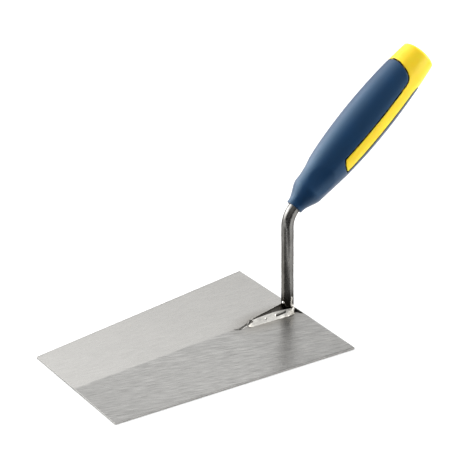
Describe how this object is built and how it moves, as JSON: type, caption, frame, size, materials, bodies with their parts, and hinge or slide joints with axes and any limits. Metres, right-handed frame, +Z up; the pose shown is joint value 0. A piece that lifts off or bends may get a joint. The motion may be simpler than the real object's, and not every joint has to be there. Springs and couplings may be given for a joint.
{
  "type": "trapezoid trowel",
  "caption": "Hand trowel with a flat trapezoid steel blade, a cranked round shank welded to its heel and a two-material handle, for spreading and scraping mortar.",
  "frame": {"origin": "middle of the blade's flat sole", "axes": "+Z up from the sole, -X towards the toe of the blade, +X towards the handle, the handle lies in the plane y = 0"},
  "size_m": [0.2911, 0.1324, 0.1757],
  "materials": {
    "ground_steel": "satin ground, fine scratches along the length",
    "forge_scale": "dark drawn bar with forge scale",
    "bright_weld": "ground bright, with a few pores",
    "hard_yellow": "satin moulded",
    "soft_blue": "fine matte soft-touch moulding"
  },
  "bodies": {
    "root": {"blade": "ground_steel", "shank": "forge_scale", "weld_left": "bright_weld", "weld_right": "bright_weld", "weld_tip": "forge_scale", "weld_heel": "forge_scale", "handle_core": "hard_yellow", "handle_grip": "soft_blue"}
  },
  "joints": []
}
